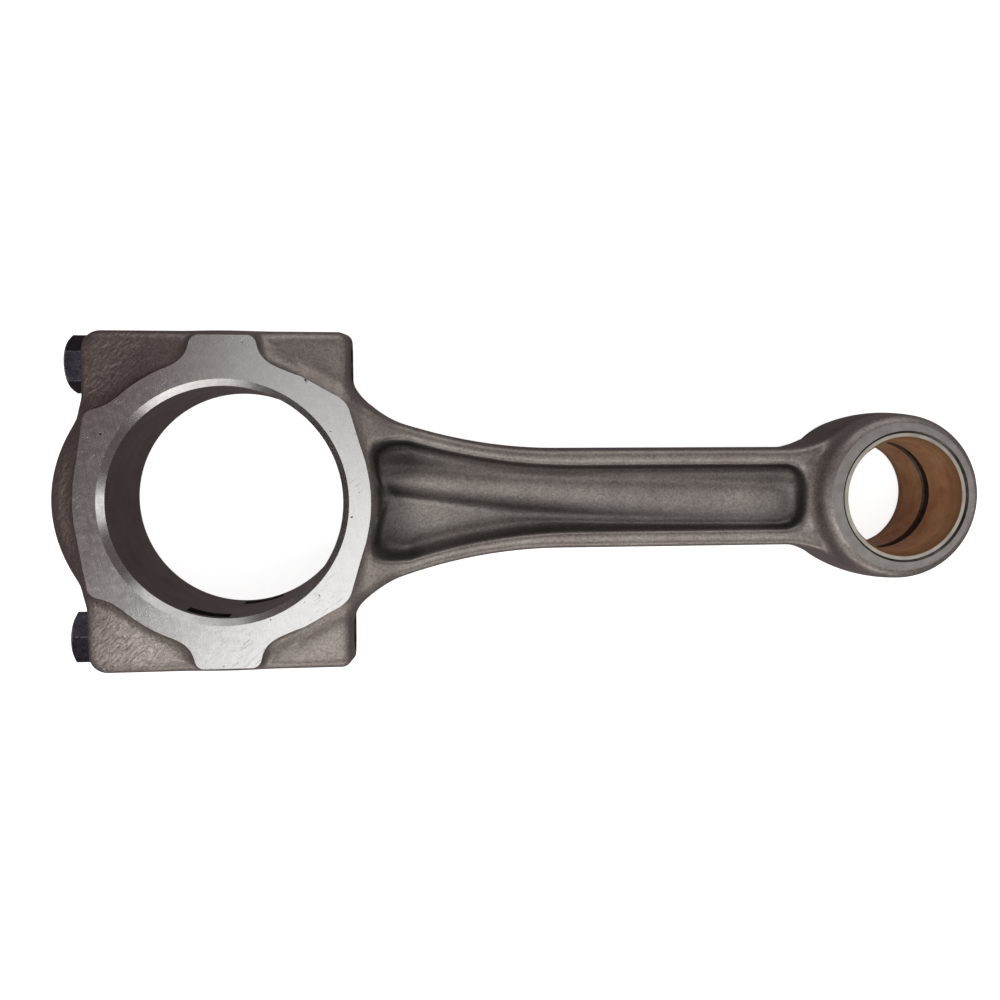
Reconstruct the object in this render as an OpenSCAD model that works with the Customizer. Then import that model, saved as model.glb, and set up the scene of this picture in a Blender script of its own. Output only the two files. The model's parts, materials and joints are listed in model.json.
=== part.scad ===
// Connecting rod of a small diesel engine, lying flat.
// The origin is the centre of the big-end bore at half width. +X runs along the shank to the
// small end, and +Z runs along both bores. The cap splits off square to X at the bore's centre.

/* [Rod] */
// Distance between the two bore centres
centre_distance = 177; // [172:0.5:182]
// Width of both ends, measured along the bores
rod_width = 33.5; // [33:0.1:35]

/* [Big end] */
// Diameter of the bearing housing bore
big_bore_d = 58; // [57:0.1:58.2]
// Radius of the machined ring round the housing bore
ring_r = 35.8; // [35:0.1:36.4]
// How far the machined pads stand above the forged surface
pad_step = 2.5; // [2:0.1:3]
// Half the height of the block that holds the cap bolts
block_half_h = 43.6; // [43.2:0.1:44.5]
// Distance from the parting face to the seats of the bolt heads
cap_seat_x = 34.6; // [34:0.1:36]
// Distance from the parting face to the shoulders on the shank side
shoulder_x = 31; // [30:0.1:32]
// Largest radius of the forged housing at mid width
housing_r = 42.2; // [41.5:0.1:42.6]
// Largest radius of the cap's crown at mid width
crown_r = 44.6; // [44:0.1:45.2]

/* [Shank] */
// Width of the I-section across its flanges
shank_w = 27; // [26:0.1:28]
// Depth of the I-section along the bores
shank_depth = 21; // [20:0.1:22]
// Thickness of the web between the two pockets
web_t = 6; // [5:0.1:7]
// Diameter of the rib that holds the oil passage
rib_d = 11.5; // [10.5:0.1:12]
// Diameter of the oil passage
oil_d = 4.5; // [4:0.1:5]

/* [Small end] */
// Largest radius of the small-end boss
boss_r = 22.5; // [22.2:0.1:23]
// Outer diameter of the bush
bush_od = 34; // [33.8:0.1:34.2]
// Bore of the bush, for the piston pin
pin_bore_d = 30.03; // [29.9:0.01:30.1]
// Thickness of the bush's bronze lining
lining_t = 1; // [0.8:0.05:1.1]

/* [Fasteners] */
// Thread diameter of the cap bolts
bolt_d = 9; // [8.6:0.1:9]
// Distance between the two cap bolts
bolt_spacing = 71; // [70.6:0.1:71.4]
// Length of a cap bolt under its head
bolt_length = 60; // [56:1:62]
// Width across flats of the bolt head
head_af = 13; // [12.7:0.1:13]
// Height of the bolt head
head_h = 6.3; // [5.5:0.1:7]
// Diameter of the dowels that locate the cap
dowel_d = 5; // [4:0.1:5]

/* [Hidden] */
$fn = 96;

forged = "#6f675f";
machined = "#b9bcb9";
bronze = "#8a5f3c";
black_oxide = "#26232b";

half_w = rod_width / 2;
block_half_d = half_w - pad_step;
shank_half_d = shank_depth / 2;
pin_x = centre_distance;
bolt_y = bolt_spacing / 2;
through = 200;
eps = 0.01;

// Big-end bore edges and the slots that keep the bearing shells from turning
bore_chamfer_z = 2;
bore_chamfer_r = 1.6;
tang_length = 10.5;
tang_width = 5;
tang_depth = 1.4;
tang_z = 10.5;

// Pads at the parting line, and the arms that tie the ring to the bolt bosses
tab_top_y = 41.3;
tab_half_w = 8.3;
tab_root_y = 33;
tab_start_y = 20;
arm_angles = [39, 145.5];
arm_reach = [38, 38.8];
arm_half_angle = 11;

// Shank outline and pockets
flare_end_x = 85;
flare_r = 127;
pocket_half_w = 8;
pocket_flare_end_x = 90;
pocket_flare_r = 150;
pocket_gap = 1.2;
pocket_end_gap = 24.6;
pocket_corner_r = 3.5;
shank_start_x = 33;
neck_x = 38;
neck_end_x = 60;
boss_flare_x = 146;
boss_flare_r = 25;
shank_end_gap = 12;
rib_start = [40, 6.2];
rib_end = [155, 0];

// Small-end boss and bush
boss_shift = 0.7;
boss_face_r = 18.7;
bush_r = bush_od / 2;
bush_recess = 0.5;
bush_chamfer = 2;
pin_r = pin_bore_d / 2;
lining_r = pin_r + lining_t;
bush_half_l = half_w - bush_recess;
groove_w = 3.6;
groove_depth = 0.6;

// Fits of the cap bolts and dowels
thread_clearance = 0.03;
bolt_hole_clearance = 0.15;
dowel_clearance = 0.02;
dowel_half_l = 6;
dowel_z = 10;
dowel_hole_extra = 1;
waist_d = bolt_d - 0.8;
thread_length = 28;
thread_mouth = 1;
bolt_turn = [39, -9];
hex = 6;

function arc(cx, cy, r, a0, a1, n = 8) =
    [for (i = [0:n]) let (a = a0 + (a1 - a0) * i / n) [cx + r * cos(a), cy + r * sin(a)]];
function mirror_y(points) = [for (i = [len(points) - 1:-1:0]) [points[i][0], -points[i][1]]];
function flare(past, r) = past > 0 ? pow(past, 2) / (2 * r) : 0;
function shank_half_w(x) =
    shank_w / 2 + flare(flare_end_x - x, flare_r) + flare(x - boss_flare_x, boss_flare_r);
function pocket_half_w(x) = pocket_half_w + flare(pocket_flare_end_x - x, pocket_flare_r);

// Repeats its children on the +Z and -Z faces
module both_faces() {
    children();
    mirror([0, 0, 1]) children();
}

// Repeats its children above and below the shank's centre line
module both_sides() {
    children();
    mirror([0, 1, 0]) children();
}

// Keeps the part of its children on one side of the parting face: +1 is the rod, -1 is the cap
module keep_side(side) {
    intersection() {
        children();
        translate([side * through / 2, 0, 0]) cube(through, center = true);
    }
}

// Plan of the bolt block, with a larger radius on the cap's corners
module block_plan() {
    r_cap = 4;
    r_rod = 3;
    upper = concat(
        arc(shoulder_x - r_rod, block_half_h - r_rod, r_rod, 0, 90, 6),
        arc(r_cap - cap_seat_x, block_half_h - r_cap, r_cap, 90, 180, 6)
    );
    polygon(concat(upper, mirror_y(upper)));
}

// The block's section across X: sides drawn in by the forging draft, with bevelled edges
module block_section() {
    draft = 1.1;
    bevel = 1.5;
    h = block_half_h;
    d = block_half_d;
    polygon([
        [-h, 0], [-h + draft, d - bevel], [-h + draft + bevel, d], [h - draft - bevel, d],
        [h - draft, d - bevel], [h, 0], [h - draft, bevel - d], [h - draft - bevel, -d],
        [-h + draft + bevel, -d], [-h + draft, bevel - d],
    ]);
}

module bolt_block() {
    intersection() {
        linear_extrude(height = rod_width, center = true) block_plan();
        rotate([90, 0, 90]) linear_extrude(height = through, center = true) block_section();
    }
}

// Forged barrel of revolution round the Z axis, given its half profile [radius, height]
module barrel(half_profile) {
    lower = [for (i = [len(half_profile) - 1:-1:0]) [half_profile[i][0], -half_profile[i][1]]];
    top = half_profile[0][1];
    rotate_extrude() polygon(concat([[0, -top], [0, top]], half_profile, lower));
}

module housing() {
    d = block_half_d;
    barrel([[housing_r - 3.5, d], [housing_r - 1.2, d - 2], [housing_r, d - 7], [housing_r, 1]]);
}

// Stiffening crown on the cap's back, between the bolt bosses
module crown() {
    d = block_half_d;
    inner_x = 22;
    intersection() {
        barrel([
            [crown_r - 7.5, d], [crown_r - 4.6, d - 1.2], [crown_r - 2.1, d - 4],
            [crown_r - 0.6, d - 8], [crown_r, 1],
        ]);
        translate([-inner_x - through / 2, 0, 0]) cube(through, center = true);
    }
}

// Machined pads on both faces: the ring, the tabs at the parting line and the four arms
module pads() {
    cylinder(r = ring_r, h = rod_width, center = true);
    linear_extrude(height = rod_width, center = true) both_sides() tab_plan();
    linear_extrude(height = rod_width, center = true) both_sides()
        for (i = [0, 1]) arm_plan(arm_angles[i], arm_reach[i]);
}

module tab_plan() {
    r = 1.8;
    fillet_r = 4;
    root_x = tab_half_w + fillet_r + 0.3;
    right = concat(
        arc(root_x, tab_root_y + fillet_r, fillet_r, 270, 184, 6),
        arc(tab_half_w - r - 0.2, tab_top_y - r, r, 0, 90, 5)
    );
    left = [for (i = [len(right) - 1:-1:0]) [-right[i][0], right[i][1]]];
    polygon(concat([[root_x, tab_start_y]], right, left, [[-root_x, tab_start_y]]));
}

module arm_plan(angle, reach) {
    foot = ring_r - 0.3;
    polygon([
        [0, 0],
        foot * [cos(angle - arm_half_angle), sin(angle - arm_half_angle)],
        reach * [cos(angle), sin(angle)],
        foot * [cos(angle + arm_half_angle), sin(angle + arm_half_angle)],
    ]);
}

module big_end_blank() {
    bolt_block();
    housing();
    pads();
}

// Housing bore with its chamfers
module big_bore() {
    r = big_bore_d / 2;
    cylinder(r = r, h = through, center = true);
    both_faces() translate([0, 0, half_w - bore_chamfer_z])
        cylinder(r1 = r, r2 = r + 2 * bore_chamfer_r, h = 2 * bore_chamfer_z);
}

// Slot for the locating tang of a bearing shell, at the lower joint; side is +1 on the rod
module tang_slot(side) {
    start_x = side > 0 ? -eps : -tang_length;
    bore_side = 8;
    translate([start_x, -big_bore_d / 2 - tang_depth, -side * tang_z - tang_width / 2])
        cube([tang_length + eps, bore_side, tang_width]);
}

module shank_plan() {
    steps = 13;
    run = pin_x - shank_end_gap - shank_start_x;
    xs = [for (i = [0:steps]) shank_start_x + run * i / steps];
    upper = [for (i = [len(xs) - 1:-1:0]) [xs[i], min(shank_half_w(xs[i]), boss_r - 1)]];
    polygon(concat(upper, mirror_y(upper)));
}

// Side elevation of the shank: deep at the big end, then an even depth to the small-end boss
module shank_elevation() {
    neck_mid_x = 46;
    top = [
        [shank_start_x, block_half_d - 0.5], [neck_x, block_half_d - 0.9],
        [neck_mid_x, shank_half_d + 1.2], [neck_end_x, shank_half_d],
        [pin_x - shank_end_gap, shank_half_d],
    ];
    polygon(concat(top, mirror_y(top)));
}

module shank() {
    intersection() {
        linear_extrude(height = rod_width, center = true) shank_plan();
        rotate([90, 0, 0]) linear_extrude(height = through, center = true) shank_elevation();
    }
}

// One of the two pockets that leave the I-section's web
module pocket_plan() {
    end_x = pin_x - pocket_end_gap;
    r = pocket_corner_r;
    widest = 15.2;
    steps = 9;
    run = pocket_flare_end_x - shank_start_x;
    xs = [for (i = [0:steps]) shank_start_x + run * i / steps];
    upper = concat(
        arc(end_x - r, pocket_half_w - r, r, 0, 90, 6),
        [for (i = [len(xs) - 1:-1:0]) [xs[i], min(pocket_half_w(xs[i]), widest)]]
    );
    difference() {
        polygon(concat(upper, mirror_y(upper)));
        circle(r = ring_r + pocket_gap);
    }
}

module pockets() {
    both_faces() translate([0, 0, web_t / 2])
        linear_extrude(height = rod_width) pocket_plan();
}

// Places its children at the start of the oil passage's axis, with +Z along it
module along_rib() {
    run = rib_end - rib_start;
    translate([rib_start[0], rib_start[1], 0]) rotate([0, 90, atan2(run[1], run[0])]) children();
}

module rib() {
    overlap = 6;
    intersection() {
        along_rib() translate([0, 0, -overlap])
            cylinder(d = rib_d, h = norm(rib_end - rib_start) + overlap);
        linear_extrude(height = rib_d, center = true) shank_plan();
    }
}

// Oil passage drilled from the housing bore to the small-end bore
module oil_passage() {
    drill_back = 16;
    drill_on = 10;
    along_rib() translate([0, 0, -drill_back])
        cylinder(d = oil_d, h = drill_back + norm(rib_end - rib_start) + drill_on);
}

module boss() {
    translate([pin_x - boss_shift, 0, 0]) barrel([
        [boss_face_r, half_w], [boss_r - 2, half_w - 1.2], [boss_r - 1, half_w - 4],
        [boss_r - 0.3, half_w - 9], [boss_r, 2],
    ]);
}

module rod_body() {
    color(forged) difference() {
        union() {
            difference() {
                union() {
                    keep_side(1) big_end_blank();
                    shank();
                }
                pockets();
            }
            rib();
            boss();
        }
        big_bore();
        tang_slot(1);
        oil_passage();
        translate([pin_x, 0, 0]) cylinder(r = bush_r, h = through, center = true);
        both_sides() translate([-eps, bolt_y, 0]) rotate([0, 90, 0])
            cylinder(r = bolt_d / 2 + thread_clearance, h = through);
        both_sides() translate([shoulder_x - thread_mouth, bolt_y, 0]) rotate([0, 90, 0])
            cylinder(r1 = bolt_d / 2, r2 = bolt_d / 2 + 2 * thread_mouth, h = 2 * thread_mouth);
        for (side = [1, -1]) translate([-eps, side * bolt_y, side * dowel_z]) rotate([0, 90, 0])
            cylinder(d = dowel_d, h = dowel_half_l + dowel_hole_extra);
    }
}

module rod_cap() {
    color(forged) difference() {
        keep_side(-1) union() {
            big_end_blank();
            crown();
        }
        big_bore();
        tang_slot(-1);
        both_sides() translate([eps, bolt_y, 0]) rotate([0, -90, 0])
            cylinder(r = bolt_d / 2 + bolt_hole_clearance, h = through);
        both_sides() bolt_seat_cut();
        for (side = [1, -1]) translate([eps, side * bolt_y, side * dowel_z]) rotate([0, -90, 0])
            cylinder(r = dowel_d / 2 + dowel_clearance, h = dowel_half_l + dowel_hole_extra);
    }
}

// Clears the crown's shoulder away from a bolt head
module bolt_seat_cut() {
    seat_d = 17;
    clear = 20;
    translate([-cap_seat_x, bolt_y, 0]) rotate([0, -90, 0]) cylinder(d = seat_d, h = clear);
}

// Steel back of the bush, with its end chamfers, its oil hole and the seat of the lining
module bush_backing() {
    color(machined) translate([pin_x, 0, 0]) difference() {
        cylinder(r = bush_r, h = 2 * bush_half_l, center = true);
        cylinder(r = lining_r, h = through, center = true);
        bush_chamfers();
        bush_oil_hole();
    }
}

// Bronze lining of the bush, with the oil groove round the middle of its bore
module bush_lining() {
    color(bronze) translate([pin_x, 0, 0]) difference() {
        cylinder(r = lining_r, h = 2 * bush_half_l, center = true);
        cylinder(r = pin_r, h = through, center = true);
        cylinder(r = pin_r + groove_depth, h = groove_w, center = true);
        bush_chamfers();
        bush_oil_hole();
    }
}

module bush_chamfers() {
    run = bush_r - pin_r - 0.1;
    both_faces() translate([0, 0, bush_half_l - bush_chamfer])
        cylinder(r1 = pin_r, r2 = pin_r + 2 * run, h = 2 * bush_chamfer);
}

module bush_oil_hole() {
    rotate([0, -90, 0]) cylinder(d = oil_d, h = through);
}

// Bolt along +X, with the seat of its head at x = 0 and the head on the -X side
module bolt_form(turn) {
    r = bolt_d / 2;
    tip = 1;
    fit_length = 8;
    rotate([0, 90, 0]) {
        bolt_head(turn);
        translate([0, 0, -tip]) cylinder(r = r, h = fit_length + tip);
        cylinder(d = waist_d, h = bolt_length - tip);
        translate([0, 0, bolt_length - thread_length]) cylinder(r = r, h = thread_length - tip);
        translate([0, 0, bolt_length - tip]) cylinder(r1 = r, r2 = r - tip, h = tip);
    }
}

// Hexagon whose outer corners are turned off at 30 degrees
module bolt_head(turn) {
    end_face_r = head_af / 2 - 0.4;
    translate([0, 0, -head_h]) intersection() {
        rotate([0, 0, turn]) cylinder(r = head_af / (2 * cos(30)), h = head_h, $fn = hex);
        cylinder(r1 = end_face_r, r2 = end_face_r + head_h / tan(30), h = head_h);
    }
}

module cap_bolt(side, turn) {
    color(black_oxide) translate([-cap_seat_x, side * bolt_y, 0]) bolt_form(turn);
}

module cap_bolt_1() {
    cap_bolt(1, bolt_turn[0]);
}

module cap_bolt_2() {
    cap_bolt(-1, bolt_turn[1]);
}

module cap_dowel(side) {
    edge = 0.5;
    straight_half_l = dowel_half_l - edge;
    color(machined) translate([0, side * bolt_y, side * dowel_z]) rotate([0, 90, 0]) {
        cylinder(d = dowel_d, h = 2 * straight_half_l, center = true);
        both_faces() translate([0, 0, straight_half_l])
            cylinder(d1 = dowel_d, d2 = dowel_d - 2 * edge, h = edge);
    }
}

module cap_dowel_1() {
    cap_dowel(1);
}

module cap_dowel_2() {
    cap_dowel(-1);
}

rod_body();
rod_cap();
bush_backing();
bush_lining();
cap_bolt_1();
cap_bolt_2();
cap_dowel_1();
cap_dowel_2();
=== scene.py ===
"""Connecting rod: the looks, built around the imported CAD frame.

The forgings are blended solids, worked out as distance fields in millimetres and meshed here.
They are then machined by boolean cuts, as the real rod is, so the ground faces and bores are
crisp against the soft forged skin. Each cutter's own material marks the surface it leaves.
"""

import json
import math

import bmesh
import bpy
import numpy as np
from mathutils import Matrix, Vector


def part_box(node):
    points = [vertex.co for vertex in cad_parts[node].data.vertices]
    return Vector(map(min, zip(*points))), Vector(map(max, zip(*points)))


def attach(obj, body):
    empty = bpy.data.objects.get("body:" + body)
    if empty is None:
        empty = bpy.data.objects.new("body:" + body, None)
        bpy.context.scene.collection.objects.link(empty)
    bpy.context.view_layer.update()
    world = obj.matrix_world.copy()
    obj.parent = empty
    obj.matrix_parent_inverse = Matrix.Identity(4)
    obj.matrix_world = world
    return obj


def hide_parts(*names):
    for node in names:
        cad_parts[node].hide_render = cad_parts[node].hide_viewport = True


MM = 0.001
SEGMENTS = 192
FORGING_CELL = 0.5

# ---------------------------------------------------------------- the frame and its dimensions

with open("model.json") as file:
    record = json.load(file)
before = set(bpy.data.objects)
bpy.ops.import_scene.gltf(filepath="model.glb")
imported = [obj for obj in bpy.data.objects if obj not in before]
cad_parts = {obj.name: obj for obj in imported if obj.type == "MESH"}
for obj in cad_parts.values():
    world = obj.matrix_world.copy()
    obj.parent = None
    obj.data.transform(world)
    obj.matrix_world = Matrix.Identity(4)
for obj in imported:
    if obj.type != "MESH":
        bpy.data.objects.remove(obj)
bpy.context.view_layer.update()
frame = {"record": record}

mounts = {m["name"]: m for m in frame["record"]["mounts"]}
body_high = np.array(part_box("rod_body")[1]) / MM
bolt_low, bolt_high = (np.array(corner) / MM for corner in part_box("cap_bolt_1"))
back_low, back_high = (np.array(corner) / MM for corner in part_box("bush_backing"))

HALF_W = body_high[2]
BIG_R = mounts["big_end_bore"]["dims"]["r_mm"]
PIN_R = mounts["pin_bore"]["dims"]["r_mm"]
PIN_X = mounts["pin_bore"]["pos_m"][0] / MM
BLOCK_H = body_high[1]
BUSH_R = (back_high[0] - back_low[0]) / 2
BUSH_HALF_L = back_high[2]
LINING_R = (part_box("bush_lining")[1][0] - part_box("bush_lining")[0][0]) / MM / 2
BOLT_Y = (bolt_low[1] + bolt_high[1]) / 2

# The forging, in millimetres and, where it leans, as a rise over a run
BLOCK_DRAFT = 0.085
SHANK_DRAFT = 0.045
POCKET_DRAFT = 0.16
PAD_DRAFT = 0.30

# Big end, in millimetres, as part.scad has it
RING_R = 35.8
PAD_STEP = 2.5
SEAT_X = 34.6
SHOULDER_X = 31.0
HOUSING_R = 42.2
CROWN_R = 33.0
CROWN_SHIFT = 12.0
TAB_TOP_Y = 41.3
TAB_HALF_W = 8.0
TAB_X = 0.35
BLOCK_D = HALF_W - PAD_STEP
CAP_CORNER_R = 4.5
ROD_CORNER_R = 2.6
# Each arm: its direction, reach, its inner side's normal in degrees, and the corner's rounding
ARMS = ((40.0, 38.8, 70.0, 2.2), (145.0, 39.9, 90.0, 2.6))
BORE_CHAMFER_Z = 1.7
BORE_CHAMFER_R = 1.6

# Shank
SHANK_HALF_D = 10.5
SHANK_HALF_W = 13.5
FLARE_END_X = 85.0
FLARE_R = 127.0
BOSS_FLARE_X = 146.9
BOSS_FLARE_R = 25.0
BOSS_FLARE_SLOPE = 0.55
SHANK_START_X = 22.0
SHANK_END_X = PIN_X - 11.4
POCKET_HALF_W = 8.8
POCKET_MAX_HALF_W = 15.4
POCKET_FLARE_END_X = 90.0
POCKET_FLARE_R = 150.0
POCKET_START_X = 20.0
POCKET_END_X = PIN_X - 24.6
WEB_HALF_T = 3.0
RIB_START = np.array([40.0, 6.2])
RIB_END = np.array([155.0, 0.0])
RIB_LENGTH = 112.0
RIB_R = 5.75
RIB_HALF_W = 4.9
RIB_UPPER_HALF_W = 7.0
RIB_SPREAD = 0.085
OIL_R = 2.25

# Small end
BOSS_R = 22.95
BOSS_X = PIN_X - 0.7

# Fasteners
BOLT_R = 4.5
ACROSS_FLATS = 13.0
HEAD_SPIN = {1: -39.0, 2: 9.0}
DOWEL_R = 2.5
DOWEL_Z = 10.0

# ---------------------------------------------------------------- distance fields


def blend_min(a, b, k):
    """Union of two fields with a fillet about k wide."""
    h = np.maximum(k - np.abs(a - b), 0.0) / k
    return np.minimum(a, b) - h * h * k / 4


def blend_max(a, b, k):
    """Intersection of two fields with a rounded edge about k wide."""
    return -blend_min(-a, -b, k)


def rounded_rect(x, y, half_x, half_y, r):
    """Plan of a rectangle about the origin whose corners have radius r."""
    qx = np.abs(x) - half_x + r
    qy = np.abs(y) - half_y + r
    outside = np.hypot(np.maximum(qx, 0), np.maximum(qy, 0))
    return outside + np.minimum(np.maximum(qx, qy), 0) - r


def drafted(plan, z, top, slope, depth):
    """A plan extruded along Z whose walls lean out by slope, down to depth below the top."""
    lean = np.minimum(top - np.abs(z), depth) * slope
    return (plan - lean) / math.hypot(1, slope)


def parabola(x, end_x, r):
    """A flare that is tangent to the straight at end_x and has radius r there."""
    return np.maximum(end_x - x, 0) ** 2 / (2 * r)


def block_field(x, y, z):
    """The block that holds the cap bolts, with forging draft on its four sides."""
    az = np.abs(z)
    seat_allowance, side_allowance, end_draft = 0.8, 0.3, 0.05
    droop, droop_from_y, edge = 0.003, 24.0, 3.0
    back_x = SEAT_X + seat_allowance
    half_x = (SHOULDER_X + back_x) / 2 - end_draft * az
    half_y = BLOCK_H + side_allowance - BLOCK_DRAFT * az
    corner = np.where(x < 0, CAP_CORNER_R, ROD_CORNER_R)
    side = rounded_rect(x - (SHOULDER_X - back_x) / 2, y, half_x, half_y, corner)
    fall = droop * np.maximum(np.abs(y) - droop_from_y, 0) ** 2
    return blend_max(side, az - BLOCK_D + fall, edge)


def housing_field(x, y, z):
    """The round housing of the bore, crowned a little across its width."""
    az = np.abs(z)
    crowning, inset, edge = 0.006, 0.5, 6.0
    rim = np.hypot(x, y) - HOUSING_R + crowning * az * az
    return blend_max(rim, az - BLOCK_D + inset, edge)


def crown_field(x, y, z):
    """The stiffening crown on the cap's back, which fades out behind the bolt bosses."""
    az = np.abs(z)
    crowning, inset, slope, slope_from_r, front_x = 0.012, 0.4, 0.25, 38, -24.0
    rim = np.hypot(x + CROWN_SHIFT, y) - CROWN_R + crowning * az * az
    top = (az - BLOCK_D + inset + (np.hypot(x, y) - slope_from_r) * slope) / 1.03
    return blend_max(blend_max(rim, top, 6.0), x - front_x, 3.0)


def pad_plan(x, y):
    """The machined outline: ring, tabs at the parting line, and four pointed arms."""
    rho = np.hypot(x, y)
    ay = np.abs(y)
    tab_root_y, tab_taper, tab_corner, tab_fillet = 24.0, 0.02, 2.2, 5.6
    tab_mid = (TAB_TOP_Y + tab_root_y) / 2
    tab_half_w = TAB_HALF_W + tab_taper * (TAB_TOP_Y - ay)
    tab = rounded_rect(x - TAB_X, ay - tab_mid, tab_half_w, TAB_TOP_Y - tab_mid, tab_corner)
    plan = blend_min(rho - RING_R, tab, tab_fillet)
    for arm in ARMS:
        plan = add_arm(plan, x, ay, *arm)
    return plan


def add_arm(plan, x, y, degrees, reach, inner_degrees, corner):
    """A pointed arm: one side runs tangent to the ring, the other cuts in towards the tab."""
    point = math.radians(degrees)
    half = math.acos(RING_R / reach)
    tangent = point - half if degrees < 90 else point + half
    inner = math.radians(inner_degrees)
    outer_side = x * math.cos(tangent) + y * math.sin(tangent) - RING_R
    dx, dy = x - reach * math.cos(point), y - reach * math.sin(point)
    inner_side = dx * math.cos(inner) + dy * math.sin(inner)
    base = RING_R * math.cos(half) - x * math.cos(point) - y * math.sin(point)
    arm = np.maximum(blend_max(outer_side, inner_side, corner), base)
    soft = np.clip((inner_side - outer_side) / 3.0 + 0.5, 0, 1)
    return blend_min(plan, arm, 0.3 + 3.4 * soft)


def pad_field(x, y, z):
    """The raised pad, left 1 mm proud of the face that is ground on it later."""
    az = np.abs(z)
    overlap, proud = 1.5, 1.0
    walls = drafted(pad_plan(x, y), z, HALF_W, PAD_DRAFT, PAD_STEP + overlap)
    beyond_block = np.abs(y) - BLOCK_H + BLOCK_DRAFT * az
    return np.maximum(np.maximum(walls, az - HALF_W - proud), beyond_block)


def shank_half_depth(x):
    """Half the I-section's depth: deeper where it runs into the big end."""
    rise, rise_end_x, rise_length = 3.0, 66.0, 30.0
    return SHANK_HALF_D + rise * np.clip((rise_end_x - x) / rise_length, 0, 1) ** 2


def shank_half_width(x):
    """Half the shank's width: a curved flare to the big end, a straight one to the boss."""
    half_w = SHANK_HALF_W + parabola(x, FLARE_END_X, FLARE_R)
    past = np.maximum(x - BOSS_FLARE_X, 0)
    bend = BOSS_FLARE_SLOPE * BOSS_FLARE_R
    straight = BOSS_FLARE_SLOPE * (past - bend / 2)
    return half_w + np.where(past < bend, past ** 2 / (2 * BOSS_FLARE_R), straight)


def shank_field(x, y, z):
    """The I-section's outline, from inside the housing to inside the boss."""
    az = np.abs(z)
    half_w = shank_half_width(x)
    side = (np.abs(y) - half_w + SHANK_DRAFT * az) / 1.05
    body = blend_max(side, az - shank_half_depth(x), 2.6)
    return np.maximum(np.maximum(body, SHANK_START_X - x), x - SHANK_END_X)


def pocket_half_width(x):
    flare = parabola(x, POCKET_FLARE_END_X, POCKET_FLARE_R)
    return np.minimum(POCKET_HALF_W + flare, POCKET_MAX_HALF_W)


def pocket_field(x, y, z):
    """One I-section pocket: drafted walls, rounded corners and a filleted floor."""
    az = np.abs(z)
    ring_gap, root_corner, tip_corner, floor_fillet = 0.6, 9.0, 6.5, 5.0
    root = RING_R + ring_gap - np.hypot(x, y)
    plan = blend_max(np.abs(y) - pocket_half_width(x), root, root_corner)
    plan = blend_max(plan, x - POCKET_END_X, tip_corner)
    plan = np.maximum(plan, POCKET_START_X - x)
    wall = plan + (shank_half_depth(x) - az) * POCKET_DRAFT
    return blend_max(wall, WEB_HALF_T - az, floor_fillet)


def rib_field(x, y, z):
    """The bulge round the oil passage, and how far each point lies to its +Y side."""
    run = RIB_END - RIB_START
    run = run / np.hypot(*run)
    off = (y - RIB_START[1]) * run[0] - (x - RIB_START[0]) * run[1]
    along = (x - RIB_START[0]) * run[0] + (y - RIB_START[1]) * run[1]
    half_w = RIB_HALF_W + RIB_SPREAD * np.maximum(along, 0)
    squash = RIB_HALF_W / np.where(off < 0, half_w, RIB_UPPER_HALF_W)
    rib = (np.hypot(off * squash, z) - RIB_R) * (0.4 + 0.6 * squash)
    return np.maximum(np.maximum(rib, along - RIB_LENGTH), -along - 8.0), off


def boss_field(x, y, z):
    """The small end's boss: a crowned barrel with rounded rims."""
    rho = np.hypot(x - BOSS_X, y)
    az = np.abs(z)
    crowning, proud, edge = 0.005, 0.2, 3.0
    qr = rho - BOSS_R + crowning * az * az + edge
    qz = az - HALF_W - proud + edge
    outside = np.hypot(np.maximum(qr, 0), np.maximum(qz, 0))
    return outside + np.minimum(np.maximum(qr, qz), 0) - edge


def big_end_field(x, y, z):
    """The bolt block, the round housing and the crown, run together."""
    field = blend_min(block_field(x, y, z), housing_field(x, y, z), 3.0)
    return blend_min(field, crown_field(x, y, z), 3.0)


def rod_field(x, y, z):
    """The whole forging, rod and cap in one, as it is before any machining."""
    neck_fillet, flange_edge = 6.5, 1.3
    field = blend_min(big_end_field(x, y, z), shank_field(x, y, z), neck_fillet)
    field = blend_max(field, -pocket_field(x, y, z), flange_edge)
    rib, off = rib_field(x, y, z)
    inside_flanges = np.abs(y) - pocket_half_width(x) - 1.5
    rib_fillet = 1.0 + 2.4 * np.clip((off + 1.0) / 4.0, 0, 1)  # sharp below, soft above
    field = blend_min(field, np.maximum(rib, inside_flanges), rib_fillet)
    # Both of these fillets shrink towards the sides, where the two surfaces run together
    boss_fillet = np.clip((shank_half_width(x) - np.abs(y)) * 0.9, 0.5, 5.0)
    field = blend_min(field, boss_field(x, y, z), boss_fillet)
    pad_fillet = np.clip((42.6 - np.abs(y)) * 0.7, 0.4, 2.8)
    return blend_min(field, pad_field(x, y, z), pad_fillet)


# ---------------------------------------------------------------- meshing a field


def sample_half(field, low, high, step):
    """Field values on a grid over z > 0, mirrored to both sides of the mid plane."""
    xs = np.arange(low[0], high[0] + step, step)
    ys = np.arange(low[1], high[1] + step, step)
    zs = np.arange(step / 2, high[2] + step, step)
    values = np.empty((len(xs), len(ys), len(zs)), np.float32)
    for i, x in enumerate(xs):
        values[i] = field(np.full((1, 1), x), ys[:, None], zs[None, :])
    full = np.concatenate([values[:, :, ::-1], values], axis=2)
    return full, np.array([xs[0], ys[0], -zs[-1]])


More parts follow.
